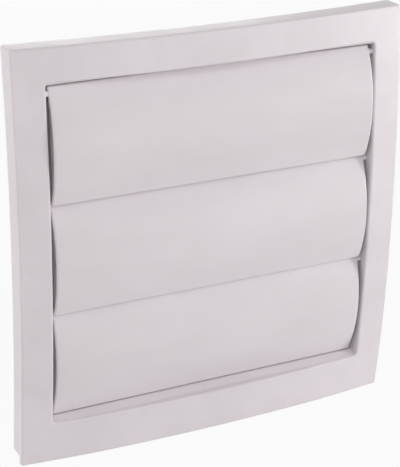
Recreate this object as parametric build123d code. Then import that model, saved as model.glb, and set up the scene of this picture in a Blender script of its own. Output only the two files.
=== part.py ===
# Louvred wall vent with three gravity flaps. Millimetres, +Z up.
# Y = 0 is the wall plane. The front faces -Y and the duct collar points to +Y.
import os
from math import atan2, cos, hypot, sin, sqrt

from build123d import *

os.makedirs("parts", exist_ok=True)

# Bezel: a square plate whose front is part of a large sphere, with a skirt behind its edges.
# bow is how far the middle of each edge stands ahead of the corners.
body_size = 150.0
bow = 4.05
bezel_wall = 1.8
skirt_depth = 7.45
skirt_wall = 1.8
corner_round = 1.0
edge_bevel = 0.5

# Drip lip: the bezel runs on below the skirt, as a thinner plate.
lip_drop = 4.0
lip_wall = 1.5

# Stiffening ribs behind the bezel, from the louvre box to the skirt.
rib_wall = 1.4
rib_depth = 5.6
rib_spacing = 42.0

# Louvre box: the walls around the opening, and the plate that lies on the wall.
side_bar = 11.5
level_bar = 12.0
opening_corner_round = 1.5
opening_bevel = 0.35
box_wall = 1.8
base_wall = 2.0

# Round duct collar on the back.
collar_radius = 49.5
collar_wall = 1.8
collar_length = 38.0
collar_lead_in = 0.8

# Four fixing holes, with raised bosses, in the corners of the back plate.
screw_spacing = 100.0
screw_hole_radius = 2.25
boss_radius = 4.8
boss_rise = 1.0

# Flaps: curved slats that hang on end pins, each lower edge over the next slat.
# tail_length is the short run of the slat above its pivot, behind the edge of the slat above.
# A cheek closes each end of the slat's hollow back.
flap_count = 3
flap_wall = 1.5
flap_bulge = 3.9
flap_end_gap = 1.4
flap_edge_round = 0.5
flap_end_bevel = 0.35
tail_length = 2.65
cheek_wall = 1.2
lower_flap_lean = 6.0

# Where the flaps hang. The pivots lie pivot_depth ahead of the wall plane, evenly spaced from
# pivot_drop below the top of the opening; one more would lie seat_drop below its foot.
# The middle of a slat is pivot_inset ahead of its pivot, and its lower edge ends
# seam_rise above and seam_forward ahead of the next pivot.
pivot_depth = 7.8
pivot_drop = 4.0
pivot_inset = 0.3
seat_drop = 0.1
seam_rise = 1.9
seam_forward = 1.5

# Pins and their sockets in the side walls of the box.
pin_radius = 1.0
pin_clearance = 0.05
pin_reach = 1.6
pin_lead_in = 0.3

# Fixed forms across the opening: a header ahead of and above the top flap's tail, a seat behind
# the lower edge of the bottom flap, and a sill that slopes down from there to the front.
flap_gap = 0.4
header_wall = 1.6
header_rise = 0.7
seat_rise = 3.0
sill_toe = 9.6
sill_gap = 0.2

# Overlap of joined forms, and length of the cutting blocks past what they cut.
root = 0.6
spare = 20.0

half_body = body_size / 2
inside_skirt = half_body - skirt_wall
opening_half_width = half_body - side_bar
opening_half_height = half_body - level_bar
box_half_width = opening_half_width + box_wall
box_half_height = opening_half_height + box_wall
flap_half_length = opening_half_width - flap_end_gap
flap_pitch = (2 * opening_half_height - pivot_drop + seat_drop) / flap_count
pivot_heights = [opening_half_height - pivot_drop - i * flap_pitch for i in range(flap_count)]

# The corners of the skirt's back rim lie on the wall plane.
bow_radius = (half_body**2 + bow**2) / (2 * bow)
bow_centre = sqrt(bow_radius**2 - 2 * half_body**2) - skirt_depth
front_limit = bow_centre - bow_radius - spare


def behind_front(setback):
    """All the space behind the bowed front surface, when that is moved back by setback."""
    return Pos(0, bow_centre + setback, 0) * Sphere(bow_radius)


def block(x_half, y_front, y_back, z_low, z_high):
    """A box, level and square to the wall, that is centred across the vent."""
    centre = Pos(0, (y_front + y_back) / 2, (z_low + z_high) / 2)
    return centre * Box(2 * x_half, y_back - y_front, z_high - z_low)


def post(section, y_front, y_back):
    """A section in the XZ plane, run from y_front back to y_back."""
    return extrude(Plane.XZ.offset(-y_front) * section, y_front - y_back)


# Bezel, skirt and lip, cut from one bowed blank.
outline = Pos(0, -lip_drop / 2) * RectangleRounded(body_size, body_size + lip_drop, corner_round)
frame = post(outline, front_limit, 0) & behind_front(0)
bowed_face = frame.faces().filter_by(GeomType.SPHERE)[0]
frame = chamfer(bowed_face.edges(), edge_bevel)
frame -= behind_front(skirt_depth)
hollow = block(inside_skirt, front_limit, spare, -inside_skirt, inside_skirt)
frame -= hollow & behind_front(bezel_wall)
below_skirt = block(body_size, front_limit, spare, -body_size, -half_body)
frame -= below_skirt & behind_front(lip_wall)

# Ribs as bars right across the back; the louvre box then takes up their middles.
bar_half = inside_skirt + root
for offset in (-rib_spacing, 0, rib_spacing):
    level = block(bar_half, front_limit, spare, offset - rib_wall / 2, offset + rib_wall / 2)
    upright = Rot(0, 90, 0) * level
    frame += (level + upright) & behind_front(bezel_wall / 2) - behind_front(rib_depth)

# Louvre box and back plate.
box_solid = block(box_half_width, front_limit, 0, -box_half_height, box_half_height)
frame += box_solid & behind_front(bezel_wall / 2)
opening = RectangleRounded(2 * opening_half_width, 2 * opening_half_height, opening_corner_round)
frame -= post(opening, front_limit, -base_wall)
bowed_face = frame.faces().filter_by(GeomType.SPHERE).sort_by(Axis.Y)[0]
frame = chamfer(bowed_face.inner_wires()[0].edges(), opening_bevel)

# Duct collar.
collar = post(Circle(collar_radius), -base_wall / 2, collar_length)
frame += chamfer(collar.edges().sort_by(Axis.Y)[-1], collar_lead_in)
frame -= post(Circle(collar_radius - collar_wall), -spare, collar_length + spare)

# Fixing holes and their bosses.
for hole in GridLocations(screw_spacing, screw_spacing, 2, 2):
    frame += post(hole * Circle(boss_radius), -base_wall - boss_rise, -base_wall / 2)
    frame -= post(hole * Circle(screw_hole_radius), -spare, spare)

# Slat section, as (forward, up) from the pivot axis. The arc of its middle line runs from
# level with the pivot down to the lower edge, and on upwards as the tail.
flap_drop = flap_pitch - seam_rise
chord = (seam_forward - pivot_inset, -flap_drop)
chord_length = hypot(*chord)
slat_radius = ((chord_length / 2) ** 2 + flap_bulge**2) / (2 * flap_bulge)
ahead = (flap_drop / chord_length, chord[0] / chord_length)
slat_centre = (
    pivot_inset + chord[0] / 2 - ahead[0] * (slat_radius - flap_bulge),
    chord[1] / 2 - ahead[1] * (slat_radius - flap_bulge),
)
low_angle = atan2(-flap_drop - slat_centre[1], seam_forward - slat_centre[0])
top_angle = atan2(-slat_centre[1], pivot_inset - slat_centre[0]) + tail_length / slat_radius
mid_angle = (low_angle + top_angle) / 2


def slat_point(angle, side):
    """A point of the section in (Y, Z); side is 1 on the front face, 0 in the middle, -1 on the back."""
    radius = slat_radius + side * flap_wall / 2
    return (-slat_centre[0] - radius * cos(angle), slat_centre[1] + radius * sin(angle))


slat = make_face(
    [
        ThreePointArc(*[slat_point(a, 1) for a in (low_angle, mid_angle, top_angle)]),
        Line(slat_point(top_angle, 1), slat_point(top_angle, -1)),
        ThreePointArc(*[slat_point(a, -1) for a in (top_angle, mid_angle, low_angle)]),
        Line(slat_point(low_angle, -1), slat_point(low_angle, 1)),
    ]
)
slat = fillet(slat.vertices(), flap_edge_round)
flap = extrude(Plane.YZ * slat, flap_half_length, both=True)
end_faces = flap.faces().sort_by(Axis.X)
flap = chamfer(end_faces[0].edges() + end_faces[-1].edges(), flap_end_bevel)
cheek = make_face(
    [
        ThreePointArc(*[slat_point(a, 0) for a in (low_angle, mid_angle, top_angle)]),
        Line(slat_point(top_angle, 0), slat_point(low_angle, 0)),
    ]
)
cheek_outside = flap_half_length - flap_end_bevel
for side in (-1, 1):
    flap += extrude(Plane.YZ.offset(side * cheek_outside) * cheek, -side * cheek_wall)
pin_half_length = flap_half_length + flap_end_gap + pin_reach
spindle = Rot(0, 90, 0) * Cylinder(pin_radius, 2 * pin_half_length)
flap += chamfer(spindle.edges().filter_by(GeomType.CIRCLE), pin_lead_in)

# Sockets for the pins, through both side walls of the box.
socket_length = flap_end_gap + 2 * box_wall
socket = Rot(0, 90, 0) * Cylinder(pin_radius + pin_clearance, socket_length)
for height in pivot_heights:
    for side in (-1, 1):
        across = side * (flap_half_length + socket_length / 2)
        frame -= Pos(across, -pivot_depth, height) * socket

# Header just clear of the top flap's tail, on the line of the slat's front face.
header_foot = slat_point(top_angle + header_rise / slat_radius, 1)
header_back = header_foot[0] - pivot_depth - flap_gap
frame += block(
    opening_half_width + root,
    header_back - header_wall,
    header_back,
    pivot_heights[0] + header_foot[1],
    opening_half_height + root,
)

# Seat that the bottom flap's lower edge comes to rest against, and the sill in front of it.
rest_place = Pos(0, -pivot_depth, pivot_heights[-1]) * Rot(lower_flap_lean, 0, 0)
low_edge = [(rest_place * Vertex(0, *slat_point(low_angle, side))).center() for side in (-1, 1)]
seat_front = low_edge[0].Y + flap_gap
frame += block(
    opening_half_width + root,
    seat_front,
    -base_wall / 2,
    -opening_half_height - root,
    -opening_half_height + seat_rise,
)
sill_top = min(corner.Z for corner in low_edge) - sill_gap
sill = make_face(
    Polyline(
        (-sill_toe, -opening_half_height),
        (low_edge[1].Y, sill_top),
        (seat_front + root, sill_top),
        (seat_front + root, -opening_half_height - root),
        (-sill_toe, -opening_half_height - root),
        close=True,
    )
)
frame += extrude(Plane.YZ * sill, opening_half_width + root, both=True)

pieces = {
    "frame": frame,
    "upper_flap": Pos(0, -pivot_depth, pivot_heights[0]) * flap,
    "middle_flap": Pos(0, -pivot_depth, pivot_heights[1]) * flap,
    "lower_flap": rest_place * flap,
}
for name, piece in pieces.items():
    export_step(piece, f"parts/{name}.step")
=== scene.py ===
"""Finish and studio stage for a louvred wall vent of white moulded plastic."""
from math import cos, radians, sin
from typing import NamedTuple

import bpy
from mathutils import Matrix, Vector


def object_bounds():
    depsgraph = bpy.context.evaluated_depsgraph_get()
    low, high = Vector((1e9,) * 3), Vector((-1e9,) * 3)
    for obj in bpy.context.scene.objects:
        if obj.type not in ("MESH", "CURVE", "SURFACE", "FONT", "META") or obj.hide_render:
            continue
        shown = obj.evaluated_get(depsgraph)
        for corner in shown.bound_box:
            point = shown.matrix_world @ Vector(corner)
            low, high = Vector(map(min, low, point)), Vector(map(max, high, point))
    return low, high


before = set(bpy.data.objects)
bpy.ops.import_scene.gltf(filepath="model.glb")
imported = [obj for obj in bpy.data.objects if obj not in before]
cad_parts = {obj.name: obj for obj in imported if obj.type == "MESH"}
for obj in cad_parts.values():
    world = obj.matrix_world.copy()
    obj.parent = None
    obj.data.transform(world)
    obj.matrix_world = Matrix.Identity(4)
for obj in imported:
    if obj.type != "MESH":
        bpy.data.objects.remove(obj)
cad_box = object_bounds()

bl_info = {
    "name": "Louvred Vent",
    "version": (1, 0, 0),
    "blender": (4, 5, 0),
    "location": "View3D > Sidebar > Vent",
    "description": "Plastic finish for a louvred wall vent, and a studio stage to show it on",
    "category": "Object",
}

FLAPS = ("upper_flap", "middle_flap", "lower_flap")
FOOT = min(corner[2] for corner in cad_box)
CREASE_ANGLE = radians(35)
PLASTIC_IOR = 1.48
EDGE_SAMPLES = 8
SENSOR_HEIGHT = 36.0
WHITE = (1.0, 1.0, 1.0, 1.0)

# How the pattern in the plastic is scaled along each axis; less than 1 draws it out.
FRAME_FLOW = (1.0, 1.0, 1.0)
FLAP_FLOW = (0.4, 1.0, 1.0)

# A noise seldom leaves the middle of its range, so these stand for its lowest and highest values.
NOISE_LOW = 0.3
NOISE_HIGH = 0.7
NOISE_ROUGHNESS = 0.55


class Lamp(NamedTuple):
    """A soft lamp that faces the vent.

    Azimuth, to the right of straight ahead, and height are in degrees, distance and size in
    metres, and power in watts.
    """

    azimuth: float
    height: float
    distance: float
    size: float
    power: float


LAMPS = {
    "key_lamp": Lamp(azimuth=56, height=0, distance=0.9, size=0.25, power=3.7),
    "fill_lamp": Lamp(azimuth=-20, height=42, distance=1.4, size=0.4, power=3.0),
    "side_lamp": Lamp(azimuth=-100, height=5, distance=1.4, size=0.5, power=5.6),
    "back_lamp": Lamp(azimuth=165, height=8, distance=1.4, size=0.8, power=5.0),
}


class VentPlastic(bpy.types.PropertyGroup):
    """Colours and surface of the moulded plastic."""

    frame_colour: bpy.props.FloatVectorProperty(
        name="Frame Colour",
        description="Colour of the frame's plastic",
        subtype="COLOR",
        min=0.0,
        max=1.0,
        default=(0.800, 0.746, 0.776),
    )
    flap_colour: bpy.props.FloatVectorProperty(
        name="Flap Colour",
        description="Colour of the flaps' plastic",
        subtype="COLOR",
        min=0.0,
        max=1.0,
        default=(0.800, 0.748, 0.777),
    )
    tint_change: bpy.props.FloatProperty(
        name="Tint Change",
        description="How far the colour drifts from place to place",
        subtype="FACTOR",
        min=0.0,
        max=0.2,
        default=0.035,
    )
    roughness: bpy.props.FloatProperty(
        name="Roughness",
        description="Roughness in the middle of its range",
        subtype="FACTOR",
        min=0.0,
        max=1.0,
        default=0.42,
    )
    roughness_change: bpy.props.FloatProperty(
        name="Roughness Change",
        description="How far the roughness goes above and below its middle",
        subtype="FACTOR",
        min=0.0,
        max=0.3,
        default=0.06,
    )
    translucence: bpy.props.FloatProperty(
        name="Translucence",
        description="Share of the light that goes into the plastic before it comes back out",
        subtype="FACTOR",
        min=0.0,
        max=1.0,
        default=0.3,
    )
    light_depth: bpy.props.FloatProperty(
        name="Light Depth",
        description="How far light travels inside the plastic",
        subtype="DISTANCE",
        unit="LENGTH",
        min=0.0,
        default=0.0012,
    )
    edge_softness: bpy.props.FloatProperty(
        name="Edge Softness",
        description="Radius that the shading rounds edges to",
        subtype="DISTANCE",
        unit="LENGTH",
        min=0.0,
        default=0.0008,
    )
    grain_size: bpy.props.FloatProperty(
        name="Grain Size",
        description="Width of one grain of the fine mould texture",
        subtype="DISTANCE",
        unit="LENGTH",
        min=0.0001,
        default=0.0006,
    )
    grain_depth: bpy.props.FloatProperty(
        name="Grain Depth",
        description="Height of the fine mould texture",
        subtype="DISTANCE",
        unit="LENGTH",
        min=0.0,
        default=0.000006,
    )
    ripple_size: bpy.props.FloatProperty(
        name="Ripple Size",
        description="Width of one slow ripple in the moulded surface",
        subtype="DISTANCE",
        unit="LENGTH",
        min=0.001,
        default=0.022,
    )
    ripple_depth: bpy.props.FloatProperty(
        name="Ripple Depth",
        description="Height of the slow ripples",
        subtype="DISTANCE",
        unit="LENGTH",
        min=0.0,
        default=0.000035,
    )


class VentStage(bpy.types.PropertyGroup):
    """Camera, floor and light."""

    camera_place: bpy.props.FloatVectorProperty(
        name="Camera Place",
        description="Where the camera stands",
        subtype="XYZ",
        unit="LENGTH",
        default=(-0.2456, -0.4739, 0.2170),
    )
    camera_aim: bpy.props.FloatVectorProperty(
        name="Camera Aim",
        description="The point in the middle of the picture",
        subtype="XYZ",
        unit="LENGTH",
        default=(-0.0059, -0.0097, 0.0004),
    )
    camera_roll: bpy.props.FloatProperty(
        name="Camera Roll",
        description="How far the camera leans to its left",
        subtype="ANGLE",
        default=radians(0.97),
    )
    camera_lens: bpy.props.FloatProperty(
        name="Lens",
        description="Focal length on a sensor 36 mm high",
        unit="CAMERA",
        min=10.0,
        default=122.5,
    )
    floor_size: bpy.props.FloatProperty(
        name="Floor Size",
        description="Length of each side of the floor",
        subtype="DISTANCE",
        unit="LENGTH",
        min=0.5,
        default=8.0,
    )
    floor_colour: bpy.props.FloatVectorProperty(
        name="Floor Colour",
        description="Colour of the floor",
        subtype="COLOR",
        min=0.0,
        max=1.0,
        default=(0.90, 0.90, 0.90),
    )
    floor_glow: bpy.props.FloatProperty(
        name="Floor Glow",
        description="Share of plain white in the floor as the camera sees it",
        subtype="FACTOR",
        min=0.0,
        max=1.0,
        default=0.90,
    )
    room_light: bpy.props.FloatProperty(
        name="Room Light",
        description="Strength of the even light from all round",
        min=0.0,
        default=0.43,
    )


def empty_tree(owner):
    """The node tree of a material or world, with nothing in it."""
    owner.use_nodes = True
    owner.node_tree.nodes.clear()
    return owner.node_tree


def add_node(tree, kind, inputs=None, **settings):
    """A new node with these settings and these input values."""
    node = tree.nodes.new(kind)
    for key, value in settings.items():
        setattr(node, key, value)
    for key, value in (inputs or {}).items():
        node.inputs[key].default_value = value
    return node


def noise(tree, place, size, detail):
    """Soft noise with features about size wide, at a place given by a vector socket."""
    node = add_node(
        tree,
        "ShaderNodeTexNoise",
        {"Scale": 1.0 / size, "Detail": detail, "Roughness": NOISE_ROUGHNESS},
    )
    tree.links.new(place, node.inputs["Vector"])
    return node.outputs["Fac"]


def stretched(tree, place, amounts):
    """The same place with each axis scaled, to draw a pattern out along one of them."""
    node = add_node(tree, "ShaderNodeMapping", {"Scale": amounts})
    tree.links.new(place, node.inputs["Vector"])
    return node.outputs["Vector"]


def spread(tree, value, low, high):
    """The middle of a noise, stretched from low to high."""
    node = add_node(
        tree,
        "ShaderNodeMapRange",
        {"From Min": NOISE_LOW, "From Max": NOISE_HIGH, "To Min": low, "To Max": high},
    )
    tree.links.new(value, node.inputs["Value"])
    return node.outputs["Result"]


def bump(tree, height, depth, below):
    """A bump of that depth in metres, on a surface whose normals come from the socket below."""
    node = add_node(tree, "ShaderNodeBump", {"Strength": 1.0, "Distance": depth})
    tree.links.new(height, node.inputs["Height"])
    tree.links.new(below, node.inputs["Normal"])
    return node.outputs["Normal"]


def moulded_plastic(name, colour, plastic, flow):
    """White satin plastic: slow drift of tint, uneven gloss, soft edges, ripples and a fine grain.

    flow scales the pattern along each axis, so that it runs the way the plastic filled the mould.
    """
    material = bpy.data.materials.new(name)
    tree = empty_tree(material)
    output = add_node(tree, "ShaderNodeOutputMaterial")
    shader = add_node(
        tree,
        "ShaderNodeBsdfPrincipled",
        {
            "IOR": PLASTIC_IOR,
            "Subsurface Weight": plastic.translucence,
            "Subsurface Scale": plastic.light_depth,
            "Subsurface Radius": (1.0, 1.0, 1.0),
        },
    )
    tree.links.new(shader.outputs["BSDF"], output.inputs["Surface"])
    place = add_node(tree, "ShaderNodeTexCoord").outputs["Object"]
    along_flow = stretched(tree, place, flow)

    ramp = add_node(tree, "ShaderNodeValToRGB")
    ends = ((NOISE_LOW, 1 - plastic.tint_change), (NOISE_HIGH, 1 + plastic.tint_change))
    for element, (position, change) in zip(ramp.color_ramp.elements, ends):
        element.position = position
        element.color = (*[min(c * change, 1.0) for c in colour], 1.0)
    tint_noise = noise(tree, along_flow, plastic.ripple_size, detail=4.0)
    tree.links.new(tint_noise, ramp.inputs["Fac"])
    tree.links.new(ramp.outputs["Color"], shader.inputs["Base Color"])

    gloss = spread(
        tree,
        noise(tree, along_flow, plastic.ripple_size / 2, detail=3.0),
        plastic.roughness - plastic.roughness_change,
        plastic.roughness + plastic.roughness_change,
    )
    tree.links.new(gloss, shader.inputs["Roughness"])

    soft_edges = add_node(
        tree, "ShaderNodeBevel", {"Radius": plastic.edge_softness}, samples=EDGE_SAMPLES
    )
    ripple_noise = noise(tree, along_flow, plastic.ripple_size, detail=1.0)
    ripples = bump(tree, ripple_noise, plastic.ripple_depth, soft_edges.outputs["Normal"])
    grain_noise = noise(tree, place, plastic.grain_size, detail=2.0)
    grain = bump(tree, grain_noise, plastic.grain_depth, ripples)
    tree.links.new(grain, shader.inputs["Normal"])
    return material


def dress(node_name, material):
    """Gives a node its material and smooth shading with crisp creases."""
    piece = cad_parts[node_name]
    piece.data.materials.clear()
    piece.data.materials.append(material)
    piece.data.shade_smooth()
    piece.data.set_sharp_from_angle(angle=CREASE_ANGLE)


class VENT_OT_finish_frame(bpy.types.Operator):
    """Give the bezel, louvre box and duct collar their satin white plastic"""

    bl_idname = "vent.finish_frame"
    bl_label = "Finish Frame"
    bl_options = {"REGISTER", "UNDO"}

    def execute(self, context):
        plastic = context.scene.vent_plastic
        material = moulded_plastic("frame_plastic", plastic.frame_colour, plastic, FRAME_FLOW)
        dress("frame", material)
        return {"FINISHED"}


class VENT_OT_finish_flaps(bpy.types.Operator):
    """Give the three flaps their satin white plastic, with its flow lines along the slats"""

    bl_idname = "vent.finish_flaps"
    bl_label = "Finish Flaps"
    bl_options = {"REGISTER", "UNDO"}

    def execute(self, context):
        plastic = context.scene.vent_plastic
        material = moulded_plastic("flap_plastic", plastic.flap_colour, plastic, FLAP_FLOW)
        for name in FLAPS:
            dress(name, material)
        return {"FINISHED"}


def sees_background(tree):
    """A socket that is 1 for rays from the camera, a gloss or a glass, and 0 for other light."""
    path = add_node(tree, "ShaderNodeLightPath")
    shown = path.outputs["Is Camera Ray"]
    for name in ("Is Glossy Ray", "Is Transmission Ray"):
        either = add_node(tree, "ShaderNodeMath", operation="MAXIMUM")
        tree.links.new(shown, either.inputs[0])
        tree.links.new(path.outputs[name], either.inputs[1])
        shown = either.outputs[0]
    return shown


def show_mix(tree, share, lit, white, output):
    """Sends the output a mix of two shaders, with this share of the white one."""
    mix = add_node(tree, "ShaderNodeMixShader")
    tree.links.new(share, mix.inputs["Fac"])
    tree.links.new(lit.outputs[0], mix.inputs[1])
    tree.links.new(white.outputs[0], mix.inputs[2])
    tree.links.new(mix.outputs[0], output.inputs["Surface"])


def white_room(stage):
    """A world that looks white and lights the vent evenly at its own strength."""
    world = bpy.data.worlds.new("white_room")
    tree = empty_tree(world)
    output = add_node(tree, "ShaderNodeOutputWorld")
    light = add_node(
        tree, "ShaderNodeBackground", {"Color": WHITE, "Strength": stage.room_light}
    )
    white = add_node(tree, "ShaderNodeBackground", {"Color": WHITE, "Strength": 1.0})
    show_mix(tree, sees_background(tree), light, white, output)
    return world


def floor_finish(stage):
    """Pale matt floor that the camera sees as nearly white, with the vent's soft shadow on it."""
    material = bpy.data.materials.new("floor_finish")
    tree = empty_tree(material)
    output = add_node(tree, "ShaderNodeOutputMaterial")
    matt = add_node(tree, "ShaderNodeBsdfDiffuse", {"Color": (*stage.floor_colour, 1.0)})
    white = add_node(tree, "ShaderNodeEmission", {"Color": WHITE, "Strength": 1.0})
    share = add_node(tree, "ShaderNodeMath", {1: stage.floor_glow}, operation="MULTIPLY")
    tree.links.new(sees_background(tree), share.inputs[0])
    show_mix(tree, share.outputs[0], matt, white, output)
    return material


def looking(place, aim, roll=0.0):
    """The matrix of a camera or lamp at place that points at aim and leans to its left by roll."""
    turn = (aim - place).to_track_quat("-Z", "Y").to_matrix().to_4x4()
    return Matrix.Translation(place) @ turn @ Matrix.Rotation(roll, 4, "Z")


def add_floor(stage):
    """One large flat face under the vent's foot."""
    half = stage.floor_size / 2
    mesh = bpy.data.meshes.new("floor")
    signs = ((-1, -1), (1, -1), (1, 1), (-1, 1))
    mesh.from_pydata([(x * half, y * half, FOOT) for x, y in signs], [], [(0, 1, 2, 3)])
    mesh.materials.append(floor_finish(stage))
    floor = bpy.data.objects.new("floor", mesh)
    bpy.context.scene.collection.objects.link(floor)


def add_lamp(name, lamp):
    """A square area light that faces the middle of the vent and doesn't show in the picture."""
    light = bpy.data.lights.new(name, "AREA")
    light.size = lamp.size
    light.energy = lamp.power
    turn, rise = radians(lamp.azimuth), radians(lamp.height)
    place = lamp.distance * Vector((sin(turn) * cos(rise), -cos(turn) * cos(rise), sin(rise)))
    holder = bpy.data.objects.new(name, light)
    holder.matrix_world = looking(place, Vector((0, 0, 0)))
    holder.visible_camera = False
    bpy.context.scene.collection.objects.link(holder)


def add_camera(stage):
    """The camera that takes the main picture."""
    camera = bpy.data.cameras.new("main_camera")
    camera.sensor_fit = "VERTICAL"
    camera.sensor_height = SENSOR_HEIGHT
    camera.lens = stage.camera_lens
    holder = bpy.data.objects.new("main_camera", camera)
    place, aim = Vector(stage.camera_place), Vector(stage.camera_aim)
    holder.matrix_world = looking(place, aim, stage.camera_roll)
    bpy.context.scene.collection.objects.link(holder)
    bpy.context.scene.camera = holder


class VENT_OT_set_stage(bpy.types.Operator):
    """Set up the floor, the soft light and the camera"""

    bl_idname = "vent.set_stage"
    bl_label = "Set Stage"
    bl_options = {"REGISTER", "UNDO"}

    def execute(self, context):
        stage = context.scene.vent_stage
        context.scene.view_settings.view_transform = "Standard"
        context.scene.world = white_room(stage)
        add_floor(stage)
        for name, lamp in LAMPS.items():
            add_lamp(name, lamp)
        add_camera(stage)
        return {"FINISHED"}


class VENT_PT_sidebar(bpy.types.Panel):
    """Finish and stage of the vent"""

    bl_label = "Louvred Vent"
    bl_idname = "VENT_PT_sidebar"
    bl_space_type = "VIEW_3D"
    bl_region_type = "UI"
    bl_category = "Vent"

    def draw(self, context):
        for group in (context.scene.vent_plastic, context.scene.vent_stage):
            column = self.layout.column(align=True)
            for name in group.__annotations__:
                column.prop(group, name)
        for operator in (VENT_OT_finish_frame, VENT_OT_finish_flaps, VENT_OT_set_stage):
            self.layout.operator(operator.bl_idname)


CLASSES = (
    VentPlastic,
    VentStage,
    VENT_OT_finish_frame,
    VENT_OT_finish_flaps,
    VENT_OT_set_stage,
    VENT_PT_sidebar,
)


def register():
    for cls in CLASSES:
        bpy.utils.register_class(cls)
    bpy.types.Scene.vent_plastic = bpy.props.PointerProperty(type=VentPlastic)
    bpy.types.Scene.vent_stage = bpy.props.PointerProperty(type=VentStage)


def unregister():
    del bpy.types.Scene.vent_stage
    del bpy.types.Scene.vent_plastic
    for cls in reversed(CLASSES):
        bpy.utils.unregister_class(cls)


def main():
    register()
    bpy.ops.vent.finish_frame()
    bpy.ops.vent.finish_flaps()
    bpy.ops.vent.set_stage()


if __name__ == "__main__":
    main()
